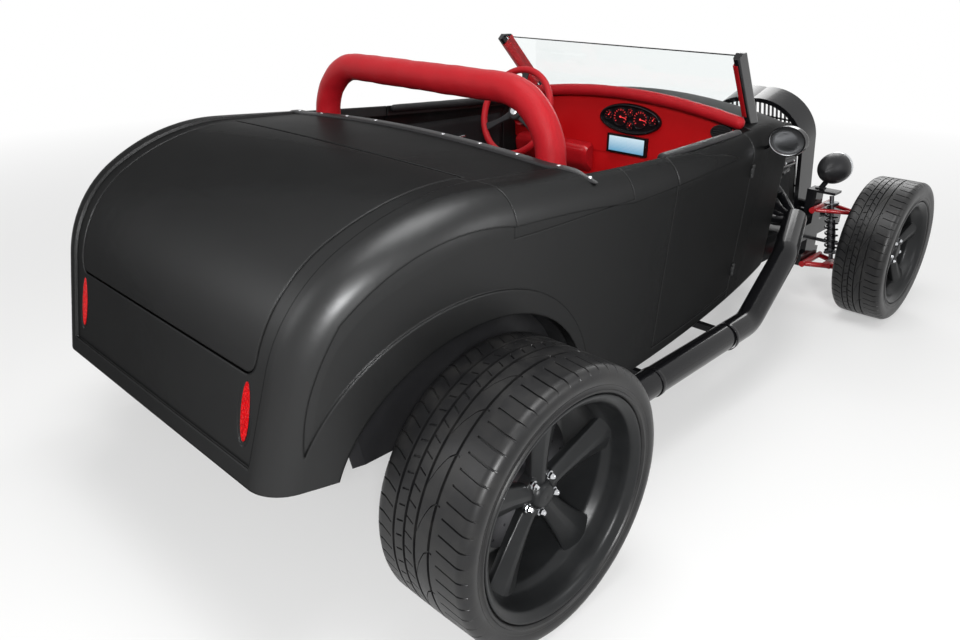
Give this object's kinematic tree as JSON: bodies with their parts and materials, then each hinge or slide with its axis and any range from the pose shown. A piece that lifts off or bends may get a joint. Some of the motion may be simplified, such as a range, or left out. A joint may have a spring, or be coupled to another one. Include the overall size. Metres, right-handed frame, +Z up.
{
  "type": "street rod roadster",
  "caption": "Open two-seat street rod roadster with smooth body, deck lid, padded roll bar, open engine bay and free-standing front wheels.",
  "frame": {"origin": "on the ground under the middle of the car's bounding box", "axes": "+Y towards the tail, +X to the car's left side, +Z up"},
  "size_m": [1.928, 3.6212, 1.298],
  "materials": {
    "charcoal_paint": "satin",
    "black_gloss": "gloss",
    "black_satin": "satin",
    "red_gloss": "gloss",
    "red_leather": "satin",
    "black_leather": "satin",
    "rim_black": "satin",
    "tyre_black": "matt",
    "clear_glass": "gloss",
    "gauge_black": "gloss",
    "lamp_red": "gloss",
    "steel_dark": "satin",
    "radiator_metal": "satin"
  },
  "bodies": {
    "car": {"body_tub": "charcoal_paint", "coilovers": "steel_dark", "cowl": "charcoal_paint", "crossmembers": "black_gloss", "dash": "red_leather", "dash_pad": "red_leather", "engine_block": "black_gloss", "engine_top": "black_gloss", "exhausts": "black_gloss", "floor_pan": "black_satin", "frame_rails": "black_gloss", "front_arms": "red_gloss", "fuel_tank": "black_satin", "gearbox": "steel_dark", "grille_bars": "black_gloss", "grille_shell": "black_gloss", "headlights": "black_gloss", "instruments": "gauge_black", "mirrors": "black_gloss", "radiator": "radiator_metal", "rear_axle": "black_satin", "roll_bar": "red_leather", "seat": "red_leather", "seat_back": "red_leather", "steering_column": "red_gloss", "steering_rack": "steel_dark", "tail_lamps": "lamp_red", "top_panel": "charcoal_paint", "wheel_tubs": "black_satin", "windshield_glass": "clear_glass", "windshield_posts": "charcoal_paint"},
    "deck_lid": {"deck_lid": "charcoal_paint"},
    "door_left": {"door_left": "charcoal_paint", "door_card_left": "black_leather"},
    "door_right": {"door_right": "charcoal_paint", "door_card_right": "black_leather"},
    "handwheel": {"steering_wheel": "red_leather"},
    "rack": {"tie_rods": "steel_dark"},
    "upright_left": {"knuckle_left": "steel_dark"},
    "upright_right": {"knuckle_right": "steel_dark"},
    "wheel_front_left": {"rim_front_left": "rim_black", "tyre_front_left": "tyre_black"},
    "wheel_front_right": {"rim_front_right": "rim_black", "tyre_front_right": "tyre_black"},
    "wheel_rear_left": {"rim_rear_left": "rim_black", "tyre_rear_left": "tyre_black"},
    "wheel_rear_right": {"rim_rear_right": "rim_black", "tyre_rear_right": "tyre_black"}
  },
  "joints": [
    {"name": "wheel_rear_left", "type": "hinge", "parent": "car", "child": "wheel_rear_left", "pos_m": [0.8, 1.22941, 0.368], "axis": [1, 0, 0], "continuous": true},
    {"name": "wheel_rear_right", "type": "hinge", "parent": "car", "child": "wheel_rear_right", "pos_m": [-0.8, 1.22941, 0.368], "axis": [1, 0, 0], "continuous": true},
    {"name": "steer_left", "type": "hinge", "parent": "car", "child": "upright_left", "pos_m": [0.6, -1.46259, 0.333], "axis": [0, 0, 1], "range_deg": [-28, 28]},
    {"name": "wheel_front_left", "type": "hinge", "parent": "upright_left", "child": "wheel_front_left", "pos_m": [0.75, -1.46259, 0.333], "axis": [1, 0, 0], "continuous": true},
    {"name": "steer_right", "type": "hinge", "parent": "car", "child": "upright_right", "pos_m": [-0.6, -1.46259, 0.333], "axis": [0, 0, 1], "range_deg": [-28, 28]},
    {"name": "wheel_front_right", "type": "hinge", "parent": "upright_right", "child": "wheel_front_right", "pos_m": [-0.75, -1.46259, 0.333], "axis": [1, 0, 0], "continuous": true},
    {"name": "rack_slide", "type": "slide", "parent": "car", "child": "rack", "axis": [1, 0, 0], "range_m": [-0.058, 0.058]},
    {"name": "steering_wheel", "type": "hinge", "parent": "car", "child": "handwheel", "pos_m": [0.33, 0.01441, 1.015], "axis": [0, 0.9397, 0.342], "range_deg": [-395, 395]},
    {"name": "deck_lid", "type": "hinge", "parent": "car", "child": "deck_lid", "pos_m": [0, 1.19841, 1.088], "axis": [1, 0, 0], "range_deg": [0, 60]},
    {"name": "door_left", "type": "hinge", "parent": "car", "child": "door_left", "pos_m": [0.61226, -0.19309, 0.7], "axis": [-0.0576, 0, -0.9983], "range_deg": [0, 65]},
    {"name": "door_right", "type": "hinge", "parent": "car", "child": "door_right", "pos_m": [-0.61226, -0.19309, 0.7], "axis": [-0.0576, 0, 0.9983], "range_deg": [0, 65]}
  ],
  "couplings": [
    {"joint": "steer_right", "follows": "steer_left", "ratio": 1},
    {"joint": "rack_slide", "follows": "steer_left", "m_per_rad": 0.116},
    {"joint": "steering_wheel", "follows": "steer_left", "ratio": 14}
  ]
}
